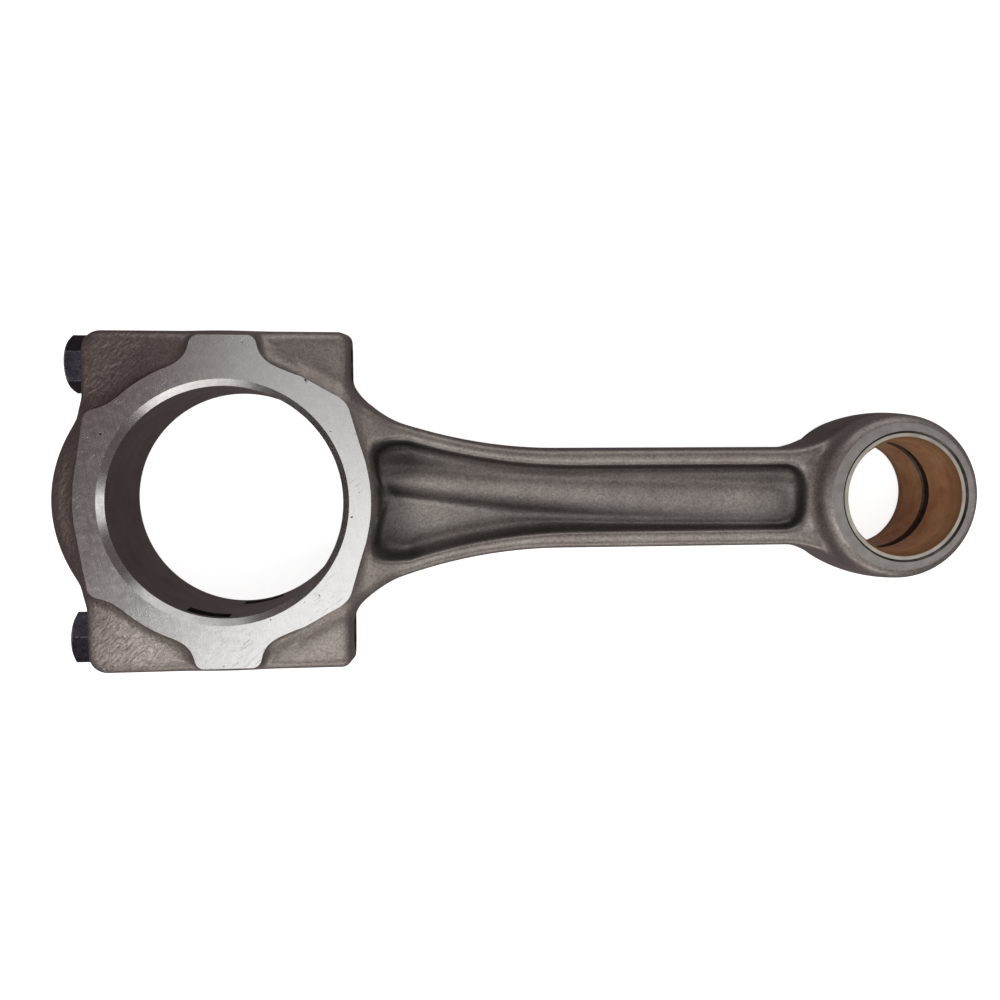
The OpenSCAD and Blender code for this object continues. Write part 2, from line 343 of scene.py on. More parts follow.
def surface_net(values, origin, step):
    """Vertices and quads of the zero surface, one vertex in each cell that it crosses."""
    inside = values < 0
    corners = [(i, j, k) for i in (0, 1) for j in (0, 1) for k in (0, 1)]
    size = np.array(values.shape) - 1

    def shifted(array, c):
        return array[c[0]:c[0] + size[0], c[1]:c[1] + size[1], c[2]:c[2] + size[2]]

    count = sum(shifted(inside, c).astype(np.int8) for c in corners)
    cells = np.argwhere((count > 0) & (count < 8))
    total = np.zeros((len(cells), 3))
    crossings = np.zeros(len(cells))
    for a in corners:
        for axis in range(3):
            if a[axis]:
                continue
            b = list(a)
            b[axis] = 1
            fa = values[tuple((cells + a).T)]
            fb = values[tuple((cells + b).T)]
            cross = (fa < 0) != (fb < 0)
            t = np.where(cross, fa / np.where(cross, fa - fb, 1), 0)
            point = np.array(a) + t[:, None] * (np.array(b) - np.array(a))
            total += np.where(cross[:, None], point, 0)
            crossings += cross
    verts = origin + step * (cells + total / crossings[:, None])
    number = -np.ones(size, np.int32)
    number[tuple(cells.T)] = np.arange(len(cells))
    return verts, net_quads(inside, number)


def net_quads(inside, number):
    """One quad for each grid edge that the surface crosses, turned to face outwards."""
    quads = []
    for axis in range(3):
        u, v = (axis + 1) % 3, (axis + 2) % 3
        low = [slice(1, -1)] * 3
        high = [slice(1, -1)] * 3
        low[axis] = slice(0, -1)
        high[axis] = slice(1, None)
        a, b = inside[tuple(low)], inside[tuple(high)]
        edges = np.argwhere(a != b)
        flip = a[tuple(edges.T)]
        base = edges.copy()
        base[:, u] += 1
        base[:, v] += 1
        ring = []
        for du, dv in ((-1, -1), (0, -1), (0, 0), (-1, 0)):
            cell = base.copy()
            cell[:, u] += du
            cell[:, v] += dv
            ring.append(number[tuple(cell.T)])
        quad = np.stack(ring, 1)
        quad[~flip] = quad[~flip][:, ::-1]
        quads.append(quad)
    return np.concatenate(quads)


def settle(verts, field, rounds=3):
    """Moves the net's vertices onto the field's zero surface by Newton steps."""
    h = 0.02
    for _ in range(rounds):
        x, y, z = verts.T
        value = field(x, y, z)
        gradient = np.stack([
            field(x + h, y, z) - field(x - h, y, z),
            field(x, y + h, z) - field(x, y - h, z),
            field(x, y, z + h) - field(x, y, z - h),
        ], 1) / (2 * h)
        square = np.maximum((gradient ** 2).sum(1), 0.05)
        step = np.clip(value / square, -0.4, 0.4)
        verts = verts - step[:, None] * gradient
    return verts


def mesh_from_arrays(name, verts_mm, faces):
    """A mesh object in metres from vertices in millimetres and equal-sized faces."""
    mesh = bpy.data.meshes.new(name)
    sides = faces.shape[1]
    mesh.vertices.add(len(verts_mm))
    mesh.vertices.foreach_set("co", (verts_mm * MM).astype(np.float32).ravel())
    mesh.loops.add(faces.size)
    mesh.loops.foreach_set("vertex_index", faces.astype(np.int32).ravel())
    mesh.polygons.add(len(faces))
    mesh.polygons.foreach_set("loop_start", np.arange(0, faces.size, sides, dtype=np.int32))
    mesh.update(calc_edges=True)
    mesh.validate()
    obj = bpy.data.objects.new(name, mesh)
    bpy.context.scene.collection.objects.link(obj)
    return obj


def forge(name, field, low, high, step):
    """The forged blank of a field, as one closed mesh."""
    values, origin = sample_half(field, low, high, step)
    verts, quads = surface_net(values, origin, step)
    return mesh_from_arrays(name, settle(verts, field), quads)


# ---------------------------------------------------------------- solids and cutters in mesh code


def object_from_bmesh(name, bm, material):
    """A new object with the mesh's normals facing out. The bmesh is freed."""
    bmesh.ops.recalc_face_normals(bm, faces=bm.faces)
    mesh = bpy.data.meshes.new(name)
    bm.to_mesh(mesh)
    bm.free()
    mesh.materials.append(material)
    obj = bpy.data.objects.new(name, mesh)
    bpy.context.scene.collection.objects.link(obj)
    return obj


def revolved(name, profile, material, ring=False, place=Matrix(), segments=SEGMENTS):
    """Turns (radius, height) points in mm about Z. A ring's profile is a closed loop."""
    bm = bmesh.new()
    loops = []
    for r, h in profile:
        loop = []
        for i in range(segments):
            turn = 2 * math.pi * i / segments
            point = Vector((r * math.cos(turn), r * math.sin(turn), h)) * MM
            loop.append(bm.verts.new(place @ point))
        loops.append(loop)
    pairs = list(zip(loops, loops[1:] + loops[:1] if ring else loops[1:]))
    for a, b in pairs:
        for i in range(segments):
            j = (i + 1) % segments
            bm.faces.new((a[i], a[j], b[j], b[i]))
    if not ring:
        bm.faces.new(loops[0])
        bm.faces.new(loops[-1])
    return object_from_bmesh(name, bm, material)


def along(start_mm, direction):
    """Placement that puts the local Z axis along direction, starting at a point in mm."""
    turn = Vector((0, 0, 1)).rotation_difference(Vector(direction))
    return Matrix.Translation(Vector(start_mm) * MM) @ turn.to_matrix().to_4x4()


def drill(name, r, start_mm, direction, depth, material, segments=64):
    """A plain cylinder cutter from a point along a direction."""
    profile = [(r, 0), (r, depth)]
    return revolved(name, profile, material, place=along(start_mm, direction), segments=segments)


def box_cutter(name, low, high, material):
    """A box cutter between two corners in millimetres."""
    bm = bmesh.new()
    bmesh.ops.create_cube(bm, size=1)
    low, high = Vector(low) * MM, Vector(high) * MM
    size = high - low
    for v in bm.verts:
        v.co = Vector(a * b for a, b in zip(v.co, size)) + (low + high) / 2
    return object_from_bmesh(name, bm, material)


def machine(obj, cutters, operation="DIFFERENCE"):
    """Applies the cutters one after another, each leaving its own material on what it cut."""
    for cutter in cutters:
        mod = obj.modifiers.new(cutter.name, "BOOLEAN")
        mod.operation = operation
        mod.solver = "MANIFOLD"
        mod.material_mode = "TRANSFER"
        mod.object = cutter
    bpy.context.view_layer.update()
    evaluated = obj.evaluated_get(bpy.context.evaluated_depsgraph_get())
    mesh = bpy.data.meshes.new_from_object(evaluated)
    obj.modifiers.clear()
    old = obj.data
    obj.data = mesh
    mesh.name = obj.name
    bpy.data.meshes.remove(old)
    for cutter in cutters:
        bpy.data.objects.remove(cutter)


def copy_of(obj, name):
    twin = bpy.data.objects.new(name, obj.data.copy())
    bpy.context.scene.collection.objects.link(twin)
    return twin


def finish_shading(obj, soft=("forged",), angle=26.0):
    """Smooth shading, with hard edges between surfaces and at machined corners."""
    bm = bmesh.new()
    bm.from_mesh(obj.data)
    limit = math.radians(angle)
    soft_slots = {i for i, m in enumerate(obj.data.materials) if m.name in soft}
    for face in bm.faces:
        face.smooth = True
    for edge in bm.edges:
        if len(edge.link_faces) != 2:
            continue
        a, b = (f.material_index for f in edge.link_faces)
        if a != b:
            edge.smooth = False
        elif a not in soft_slots and edge.calc_face_angle(0) > limit:
            edge.smooth = False
    bm.to_mesh(obj.data)
    bm.free()


# ---------------------------------------------------------------- material nodes


class Surface:
    """One procedural material: a short way to add and link its nodes."""

    def __init__(self, name, roughness, metallic=1.0):
        self.material = bpy.data.materials.new(name)
        self.material.use_nodes = True
        self.tree = self.material.node_tree
        self.shader = self.tree.nodes["Principled BSDF"]
        self.shader.inputs["Metallic"].default_value = metallic
        self.shader.inputs["Roughness"].default_value = roughness
        self.coords = self.add("ShaderNodeTexCoord").outputs["Object"]
        self.normal = None

    def add(self, kind, **settings):
        node = self.tree.nodes.new(kind)
        for key, value in settings.items():
            setattr(node, key, value)
        return node

    def put(self, socket, value):
        if isinstance(value, bpy.types.NodeSocket):
            self.tree.links.new(value, socket)
        else:
            socket.default_value = value

    def mapped(self, scale=(1, 1, 1), turn=(0, 0, 0), shift=(0, 0, 0)):
        """Object coordinates in millimetres, stretched by scale."""
        node = self.add("ShaderNodeMapping", vector_type="TEXTURE")
        self.put(node.inputs["Vector"], self.coords)
        node.inputs["Location"].default_value = [v * MM for v in shift]
        node.inputs["Rotation"].default_value = [math.radians(v) for v in turn]
        node.inputs["Scale"].default_value = [v * MM for v in scale]
        return node.outputs["Vector"]

    def noise(self, size, detail=2.0, rough=0.5, warp=0.0, coords=None):
        """Noise whose features are about size millimetres across."""
        node = self.add("ShaderNodeTexNoise")
        self.put(node.inputs["Vector"], coords or self.mapped())
        node.inputs["Scale"].default_value = 1.0 / size
        node.inputs["Detail"].default_value = detail
        node.inputs["Roughness"].default_value = rough
        node.inputs["Distortion"].default_value = warp
        return node.outputs["Fac"]

    def ramp(self, factor, *stops):
        """Colours or greys at positions along factor."""
        node = self.add("ShaderNodeValToRGB")
        self.put(node.inputs["Fac"], factor)
        elements = node.color_ramp.elements
        while len(elements) < len(stops):
            elements.new(0.5)
        for element, (position, colour) in zip(elements, stops):
            element.position = position
            grey = isinstance(colour, (int, float))
            element.color = (colour, colour, colour, 1) if grey else (*colour, 1)
        return node.outputs["Color"]

    def math(self, operation, a, b=0.0):
        """One sum on numbers that vary over the surface."""
        node = self.add("ShaderNodeMath", operation=operation)
        self.put(node.inputs[0], a)
        self.put(node.inputs[1], b)
        return node.outputs[0]

    def span(self, value, low, high, to_low=0.0, to_high=1.0):
        """Stretches value's range from low to high onto to_low to to_high, and clamps it."""
        node = self.add("ShaderNodeMapRange", clamp=True)
        self.put(node.inputs["Value"], value)
        ends = {"From Min": low, "From Max": high, "To Min": to_low, "To Max": to_high}
        for key, number in ends.items():
            node.inputs[key].default_value = number
        return node.outputs["Result"]

    def mix(self, factor, a, b, blend="MIX"):
        """Mixes two colours; plain colours are given as tuples of three."""
        node = self.add("ShaderNodeMix", data_type="RGBA", blend_type=blend)
        self.put(node.inputs["Factor"], factor)
        colour_a, colour_b = node.inputs[6], node.inputs[7]
        for socket, value in ((colour_a, a), (colour_b, b)):
            self.put(socket, (*value, 1) if isinstance(value, tuple) else value)
        return node.outputs[2]

    def split(self):
        """X, Y and Z of the surface in millimetres."""
        node = self.add("ShaderNodeSeparateXYZ")
        self.put(node.inputs[0], self.mapped())
        return node.outputs

    def paint_side_shade(self, colour, tint=(0.57, 0.495, 0.51)):
        """Painted shade: darkens the cap's +Y side, as if it lay in shade."""
        x, y = self.split()[:2]
        reach = self.math("ADD", self.math("MULTIPLY", x, -0.94), self.math("MULTIPLY", y, 0.34))
        drift = self.math("MULTIPLY", self.noise(11.0), 9.0)
        mask = self.span(self.math("ADD", reach, drift), 14.0, 32.0)
        return self.mix(mask, colour, self.mix(1.0, colour, tint, "MULTIPLY"))

    def paint_pocket_shade(self, colour, tint=(0.56, 0.54, 0.53)):
        """Painted shade: darkens the +Y half of the shank's pockets, below the flanges."""
        _, y, z = self.split()
        half = self.span(y, 0.5, 8.0)
        low = self.span(self.math("ABSOLUTE", z), 10.3, 7.8)
        mask = self.math("MULTIPLY", half, low)
        return self.mix(mask, colour, self.mix(1.0, colour, tint, "MULTIPLY"))

    def bump(self, height, depth, strength=1.0):
        """Adds relief of depth millimetres on top of the relief already there."""
        node = self.add("ShaderNodeBump")
        node.inputs["Distance"].default_value = depth * MM
        node.inputs["Strength"].default_value = strength
        self.put(node.inputs["Height"], height)
        if self.normal is not None:
            self.put(node.inputs["Normal"], self.normal)
        self.normal = node.outputs["Normal"]
        self.put(self.shader.inputs["Normal"], self.normal)

    def colour(self, value):
        self.put(self.shader.inputs["Base Color"], value)

    def rough(self, value):
        self.put(self.shader.inputs["Roughness"], value)


def forged_surface():
    """Shot-peened forging: warm grey, satin, with fine grain and a few darker blotches."""
    s = Surface("forged", 0.5, metallic=0.72)
    blotch = s.noise(16.0, detail=3.0, rough=0.55)
    grain = s.noise(0.6, detail=2.0, rough=0.5)
    dimple = s.noise(1.3, detail=2.0)
    waves = s.noise(6.0, detail=2.0)
    tone = s.ramp(blotch, (0.30, (0.295, 0.260, 0.238)), (0.72, (0.395, 0.360, 0.328)))
    fleck = s.span(grain, 0.30, 0.62, 0.70, 1.10)
    fleck_colour = s.add("ShaderNodeCombineColor")
    for socket in fleck_colour.inputs:
        s.put(socket, fleck)
    # Painted shade: an occlusion mask darkens the colour to near black in hollows, creases and
    # along walls.
    hollow = s.add("ShaderNodeAmbientOcclusion", samples=4)
    hollow.inputs["Distance"].default_value = 13.0 * MM
    painted_shade = s.span(hollow.outputs["AO"], 0.61, 0.975, 0.98, 0.0)
    # Painted shade on the cap's +Y side.
    tone = s.paint_side_shade(s.mix(1.0, tone, fleck_colour.outputs[0], "MULTIPLY"))
    # Painted shade on the +Y half of the pockets, below the flanges.
    tone = s.paint_pocket_shade(tone)
    s.colour(s.mix(painted_shade, tone, (0.030, 0.024, 0.025)))
    s.rough(s.span(dimple, 0.3, 0.7, 0.36, 0.50))
    along_x = s.split()[0]
    cap_side = s.span(along_x, -6.0, -24.0)
    wrinkle_coords = s.mapped(scale=(0.9, 2.6, 1.6), turn=(0, 0, -42))
    wrinkles = s.noise(1.0, detail=2.0, warp=0.5, coords=wrinkle_coords)
    s.bump(waves, 0.06, 0.6)
    s.bump(dimple, 0.028, 0.7)
    s.bump(grain, 0.015, 0.8)
    s.bump(s.math("MULTIPLY", wrinkles, cap_side), 0.42, 0.8)
    return s.material


def ground_surface():
    """Surface-ground steel: silver, with the wheel's lines, stray scratches and small dents."""
    s = Surface("ground", 0.26)
    along_wheel = s.mapped(scale=(0.10, 9.0, 1), turn=(0, 0, 12))
    across_wheel = s.mapped(scale=(5.0, 0.12, 1), turn=(0, 0, 38))
    lines = s.noise(1.0, detail=3.0, rough=0.7, coords=along_wheel)
    cross = s.noise(1.0, detail=2.0, rough=0.6, coords=across_wheel)
    mottle = s.noise(1.8, detail=5.0, rough=0.7)
    cloud = s.noise(14.0, detail=2.0)
    dents = s.noise(1.5, detail=1.0)
    tone = s.ramp(mottle, (0.30, (0.54, 0.525, 0.515)), (0.70, (0.62, 0.61, 0.60)))
    marks = s.span(dents, 0.75, 0.79)
    scratches = s.math("MULTIPLY", s.span(cross, 0.66, 0.72), s.span(cloud, 0.50, 0.62))
    tone = s.mix(scratches, tone, (0.30, 0.29, 0.29))
    # Painted shade on the cap's +Y side, lighter than on the forging.
    s.colour(s.paint_side_shade(s.mix(marks, tone, (0.09, 0.08, 0.08)), (0.82, 0.75, 0.76)))
    line_rough = s.span(lines, 0.3, 0.7, 0.20, 0.28)
    mottle_rough = s.span(mottle, 0.3, 0.7, -0.02, 0.03)
    s.rough(s.math("ADD", line_rough, mottle_rough))
    s.bump(lines, 0.009, 0.5)
    s.bump(mottle, 0.006, 0.25)
    s.bump(scratches, -0.03, 0.7)
    s.bump(marks, -0.10, 0.8)
    return s.material


def faced_surface():
    """The small end's faces: milled, then dulled by handling, close in tone to the forging."""
    s = Surface("faced", 0.42, metallic=0.7)
    arcs = s.noise(1.0, detail=2.0, coords=s.mapped(scale=(0.14, 7.0, 1), turn=(0, 0, 20)))
    patch = s.noise(3.5, detail=4.0, rough=0.62)
    s.colour(s.ramp(patch, (0.30, (0.245, 0.23, 0.215)), (0.70, (0.35, 0.33, 0.31))))
    s.rough(s.span(arcs, 0.3, 0.7, 0.34, 0.48))
    s.bump(arcs, 0.008, 0.4)
    s.bump(patch, 0.03, 0.4)
    return s.material


def bored_surface():
    """Fine-bored steel with rings left by the boring bar, brown-grey from its oil film."""
    s = Surface("bored", 0.34)
    rings = s.noise(1.0, detail=2.0, rough=0.6, coords=s.mapped(scale=(60, 60, 0.16)))
    stain = s.noise(9.0, detail=3.0, rough=0.6)
    s.colour(s.ramp(stain, (0.30, (0.19, 0.165, 0.150)), (0.75, (0.31, 0.28, 0.26))))
    s.rough(s.span(rings, 0.3, 0.7, 0.26, 0.42))
    s.bump(rings, 0.012, 0.5)
    return s.material


def chamfer_surface():
    """Turned chamfers: brighter and smoother than the faces beside them."""
    s = Surface("chamfer", 0.26)
    stain = s.noise(5.0, detail=3.0, rough=0.6)
    chatter = s.noise(1.2, detail=2.0)
    s.colour(s.ramp(stain, (0.30, (0.52, 0.50, 0.49)), (0.70, (0.62, 0.61, 0.60))))
    s.rough(s.span(chatter, 0.3, 0.7, 0.24, 0.30))
    s.bump(chatter, 0.003, 0.3)
    return s.material


def parting_surface():
    """Milled joint face between the rod and the cap, with the cutter's arcs."""
    s = Surface("parting", 0.36)
    arcs = s.add("ShaderNodeTexWave", wave_type="RINGS", rings_direction="X")
    s.put(arcs.inputs["Vector"], s.mapped(shift=(0, 60, 0)))
    arcs.inputs["Scale"].default_value = 0.9
    arcs.inputs["Distortion"].default_value = 0.6
    cloud = s.noise(4.0, detail=3.0)
    s.colour(s.ramp(cloud, (0.30, (0.40, 0.39, 0.37)), (0.70, (0.56, 0.55, 0.53))))
    s.rough(s.span(cloud, 0.3, 0.7, 0.30, 0.44))
    s.bump(arcs.outputs["Fac"], 0.006, 0.5)
    return s.material


def drilled_surface():
    """Drilled and tapped holes, near black: painted shade inside them."""
    s = Surface("drilled", 0.4)
    stain = s.noise(2.0, detail=3.0)
    s.colour(s.ramp(stain, (0.30, (0.05, 0.045, 0.045)), (0.70, (0.11, 0.10, 0.095))))
    s.bump(stain, 0.03, 0.6)
    return s.material


def black_oxide_surface():
    """Black-oxide bolt steel: blue-black, worn brighter on its edges and corners."""
    s = Surface("black_oxide", 0.34)
    stain = s.noise(1.8, detail=3.0, rough=0.6)
    rub = s.noise(0.5, detail=3.0, rough=0.7)
    tone = s.ramp(stain, (0.30, (0.030, 0.025, 0.036)), (0.72, (0.080, 0.075, 0.094)))
    bevel = s.add("ShaderNodeBevel", samples=6)
    bevel.inputs["Radius"].default_value = 0.35 * MM
    geometry = s.add("ShaderNodeNewGeometry")
    dot = s.add("ShaderNodeVectorMath", operation="DOT_PRODUCT")
    s.put(dot.inputs[0], bevel.outputs["Normal"])
    s.put(dot.inputs[1], geometry.outputs["Normal"])
    edge = s.span(dot.outputs["Value"], 0.995, 0.93)
    worn = s.math("MULTIPLY", edge, s.span(rub, 0.35, 0.65))
    s.colour(s.mix(worn, tone, (0.48, 0.47, 0.49)))
    s.rough(s.span(rub, 0.3, 0.7, 0.22, 0.38))
    s.bump(rub, 0.02, 0.5)
    return s.material


def bush_steel_surface():
    """The bush's steel back: bright turned steel with a grey tin flash."""
    s = Surface("bush_steel", 0.4, metallic=0.7)
    rings = s.noise(1.0, detail=2.0, coords=s.mapped(scale=(40, 40, 0.2)))
    cloud = s.noise(3.0, detail=2.0)
    s.colour(s.ramp(cloud, (0.30, (0.40, 0.38, 0.33)), (0.70, (0.56, 0.53, 0.46))))
    s.rough(s.span(rings, 0.3, 0.7, 0.34, 0.46))
    s.bump(rings, 0.01, 0.4)
    return s.material


def bronze_surface():
    """Bored bronze: fine turning rings, warm brown with paler and redder patches."""
    s = Surface("bronze", 0.40, metallic=0.35)
    rings = s.noise(1.0, detail=2.0, rough=0.6, coords=s.mapped(scale=(50, 50, 0.14)))
    patch = s.noise(5.0, detail=4.0, rough=0.62)
    smear = s.noise(1.0, detail=3.0, coords=s.mapped(scale=(6, 6, 1.2)))
    tone = s.ramp(
        patch, (0.28, (0.56, 0.255, 0.105)), (0.52, (0.74, 0.40, 0.175)), (0.76, (0.84, 0.54, 0.28))
    )
    dull = s.span(smear, 0.45, 0.75)
    tone = s.mix(s.math("MULTIPLY", dull, 0.45), tone, (0.50, 0.34, 0.20))
    height = s.math("ABSOLUTE", s.split()[2])
    mouth = s.span(height, BUSH_HALF_L - 5.0, BUSH_HALF_L - 0.5)
    s.colour(s.mix(mouth, tone, (0.30, 0.17, 0.09)))
    s.rough(s.span(rings, 0.3, 0.7, 0.26, 0.42))
    s.bump(rings, 0.014, 0.5)
    s.bump(patch, 0.02, 0.2)
    return s.material


def groove_surface():
    """The bush's oil groove: bronze darkened by old oil."""
    s = Surface("groove", 0.5, metallic=0.6)
    stain = s.noise(1.5, detail=3.0)
    s.colour(s.ramp(stain, (0.30, (0.045, 0.030, 0.026)), (0.70, (0.100, 0.062, 0.048))))
    s.bump(stain, 0.03, 0.5)
    return s.material


def dowel_surface():
    """Ground dowel steel with a light drawn finish."""
    s = Surface("dowel", 0.22)
    lines = s.noise(1.0, detail=2.0, coords=s.mapped(scale=(0.15, 4, 4)))
    s.colour(s.ramp(lines, (0.30, (0.52, 0.52, 0.52)), (0.70, (0.68, 0.68, 0.67))))
    s.rough(s.span(lines, 0.3, 0.7, 0.16, 0.30))
    s.bump(lines, 0.006, 0.4)
    return s.material


def floor_surface():
    """Plain white floor, lit a little from below like a light table."""
    s = Surface("floor", 0.7, metallic=0.0)
    speck = s.noise(40.0, detail=2.0)
    s.colour(s.ramp(speck, (0.3, 0.86), (0.7, 0.88)))
    s.shader.inputs["Emission Color"].default_value = (1, 1, 1, 1)
    s.shader.inputs["Emission Strength"].default_value = 0.84
    return s.material


# ---------------------------------------------------------------- the rod and its cap


def face_cutters(mats):
    """Grinds both faces of the big end, and mills those of the small end, to the rod's width."""
    cutters = []
    for name, from_x, to_x in (("ground", -99, 100), ("faced", 100, 299)):
        cutters.append(box_cutter(name, (from_x, -99, HALF_W), (to_x, 99, 99), mats[name]))
        cutters.append(box_cutter(name, (from_x, -99, -99), (to_x, 99, -HALF_W), mats[name]))
    return cutters


def bore_cutters(mats):
    """Big-end housing bore, and a cone at each end for its chamfer."""
    bore = revolved("bore", [(BIG_R, -50), (BIG_R, 50)], mats["bored"])
    cones = []
    rise = 2 * BORE_CHAMFER_Z
    for side in (1, -1):
        low_z = side * (HALF_W - BORE_CHAMFER_Z)
        profile = [(BIG_R - 0.01, low_z), (BIG_R + 2 * BORE_CHAMFER_R, low_z + side * rise)]
        cones.append(revolved("chamfer", profile, mats["chamfer"]))
    return [bore] + cones


def tang_cutter(side, mats):
    """Milled slot for a bearing shell's tang, at the lower joint; side is +1 on the rod."""
    length, width, depth, at_z = 10.5, 5.0, 1.4, 10.5
    low = (-1.0 if side > 0 else -length, -BIG_R - depth, -side * at_z - width / 2)
    high = (length if side > 0 else 1.0, -BIG_R + 8, -side * at_z + width / 2)
    return box_cutter("tang_slot", low, high, mats["drilled"])


def bolt_hole_cutters(side, mats):
    """Tapped holes in the rod (side +1), or clearance holes and bolt seats in the cap (-1)."""
    cutters = []
    # The holes' near-black material paints the shade inside them.
    hole_shade_mat = mats["drilled"]
    for y in (BOLT_Y, -BOLT_Y):
        if side > 0:
            cutters.append(drill("tapped", BOLT_R + 0.03, (-1, y, 0), (1, 0, 0), 80, hole_shade_mat))
            mouth = [(BOLT_R, SHOULDER_X - 1), (BOLT_R + 2, SHOULDER_X + 1)]
            place = along((0, y, 0), (1, 0, 0))
            cutters.append(revolved("mouth", mouth, hole_shade_mat, place=place, segments=64))
        else:
            cutters.append(drill("clear", BOLT_R + 0.15, (1, y, 0), (-1, 0, 0), 80, hole_shade_mat))
            seat = (-SEAT_X, y, 0)
            cutters.append(drill("seat", 9.2, seat, (-1, 0, 0), 30, mats["ground"]))
    for y in (BOLT_Y, -BOLT_Y):
        z = math.copysign(DOWEL_Z, y)
        r = DOWEL_R if side > 0 else DOWEL_R + 0.02
        start = (-1 if side > 0 else 1, y, z)
        cutters.append(drill("dowel_hole", r, start, (side, 0, 0), 8, hole_shade_mat, 48))
    return cutters


def oil_cutter(mats):
    """Passage from the housing bore to the small end, through the rib."""
    run = RIB_END - RIB_START
    length = float(np.hypot(*run))
    direction = (run[0] / length, run[1] / length, 0)
    start = (RIB_START[0] - 16 * direction[0], RIB_START[1] - 16 * direction[1], 0)
    return drill("oil_passage", OIL_R, start, direction, length + 26, mats["drilled"], 48)


def lead_in_cutters(mats):
    """The chamfers that lead the bush into its seat, left as a dark line round it."""
    cones = []
    for side in (1, -1):
        profile = [(BUSH_R - 0.01, side * (HALF_W - 0.6)), (BUSH_R + 1.0, side * (HALF_W + 0.6))]
        cones.append(revolved("lead_in", profile, mats["drilled"],
                              place=along((PIN_X, 0, 0), (0, 0, 1))))
    return cones


def make_rod_and_cap(mats):
    """One forged blank, sawn at the joint, then each half machined on its own."""
    low, high = (-47.3, -46.2, 0), (201.2, 46.4, 18.6)
    blank = forge("blank", rod_field, low, high, FORGING_CELL)
    blank.data.materials.append(mats["forged"])
    cap = copy_of(blank, "cap_forging")
    blank.name = "rod_forging"
    saw_rod = box_cutter("split", (-99, -99, -99), (0, 99, 99), mats["parting"])
    saw_cap = box_cutter("split", (0, -99, -99), (299, 99, 99), mats["parting"])
    pin_seat = revolved("pin_seat", [(BUSH_R, -50), (BUSH_R, 50)], mats["bored"],
                        place=along((PIN_X, 0, 0), (0, 0, 1)))
    machine(blank, [saw_rod] + face_cutters(mats) + bore_cutters(mats) + bolt_hole_cutters(1, mats)
            + [tang_cutter(1, mats), oil_cutter(mats), pin_seat] + lead_in_cutters(mats))
    machine(cap, [saw_cap] + face_cutters(mats) + bore_cutters(mats) + bolt_hole_cutters(-1, mats)
            + [tang_cutter(-1, mats)])
    for piece, body, node in ((blank, "rod", "rod_body"), (cap, "cap", "rod_cap")):
        finish_shading(piece)
        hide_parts(node)
        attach(piece, body)


# ---------------------------------------------------------------- bush, bolts and dowels


def both_ends(upper_half):
    """A closed profile from its upper half, which starts and ends on the mid plane."""
    return upper_half + [(r, -h) for r, h in upper_half[-2:0:-1]]


def make_bush(mats):
    """Steel back and bronze lining, with their chamfers, oil groove and oil hole."""
    top = BUSH_HALF_L
    lead_in = 2.4
    edge_r = LINING_R - 0.12
    outer_break = 0.25
    back = [
        (BUSH_R - 0.001, 0), (BUSH_R - 0.001, top - outer_break), (BUSH_R - outer_break * 0.4, top),
        (LINING_R, top), (LINING_R, 0),
    ]
    groove_w, groove_d = 1.8, 0.6
    lining = [(LINING_R, 0), (LINING_R, top), (edge_r, top), (PIN_R, top - lead_in), (PIN_R, 0)]
    place = along((PIN_X, 0, 0), (0, 0, 1))
    for name, node, ring, mat, slot in (
        ("bush_back", "bush_backing", both_ends(back), mats["bush_steel"], "bush_steel"),
        ("bush_bronze", "bush_lining", both_ends(lining), mats["bronze"], "bush_bronze"),
    ):
        piece = revolved(name, ring, mat, ring=True, place=place)
        cutters = [drill("oil_hole", OIL_R, (PIN_X, 0, 0), (-1, 0, 0), 30, mats["drilled"], 48)]
        if name == "bush_bronze":
            floor_r, floor_w = PIN_R + groove_d, groove_w - 0.35
            groove = [(PIN_R - 1, -groove_w), (PIN_R, -groove_w), (floor_r, -floor_w),
                      (floor_r, floor_w), (PIN_R, groove_w), (PIN_R - 1, groove_w)]
            cutters.append(revolved("oil_groove", groove, mats["groove"], ring=True, place=place))
        machine(piece, cutters)
        finish_shading(piece, soft=(), angle=18)
        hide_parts(node)
        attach(piece, "rod")


def thread_radius(x, turn, start, end):
    """Radius of an M9 x 1 thread at a place along the bolt and round it, run out at both ends."""
    pitch, depth = 1.0, 0.61
    phase = np.mod(x / pitch - turn / (2 * np.pi), 1.0)
    groove = np.clip(1 - np.abs(phase - 0.5) / 0.44, 0, 1)
    fade = np.clip((x - start) / 1.2, 0, 1) * np.clip((end + 0.4 - x) / 0.8, 0, 1)
    return BOLT_R - depth * groove * fade


def make_bolt_shank(name, seat_x, y, material):
    """Fitted neck, waisted middle and threaded end, as one closed skin along +X."""
    length = bolt_high[0] + SEAT_X
    thread_length, neck_length, row_step, sides = 28.0, 8.0, 0.1, 72
    waist_r = BOLT_R - 0.4
    thread_start = length - thread_length
    turns = np.linspace(0, 2 * np.pi, sides, endpoint=False)
    plain = [(-1.0, BOLT_R), (neck_length, BOLT_R), (neck_length + 0.9, waist_r),
             (thread_start - 1.0, waist_r)]
    rows = [np.full(sides, r) for _, r in plain]
    xs = [x for x, _ in plain]
    for x in np.arange(thread_start, length - 1.0, row_step):
        rows.append(thread_radius(x, turns, thread_start, length - 1.0))
        xs.append(x)
    rows += [np.full(sides, BOLT_R - 0.5), np.full(sides, BOLT_R - 1.2)]
    xs += [length - 0.9, length]
    bm = bmesh.new()
    loops = []
    for x, radii in zip(xs, rows):
        loops.append([
            bm.verts.new((seat_x * MM + x * MM, (y + r * math.cos(t)) * MM, r * math.sin(t) * MM))
            for r, t in zip(radii, turns)
        ])
    for a, b in zip(loops, loops[1:]):
        for i in range(sides):
            j = (i + 1) % sides
            bm.faces.new((a[i], a[j], b[j], b[i]))
    bm.faces.new(loops[0])
    bm.faces.new(loops[-1])
    return object_from_bmesh(name, bm, material)


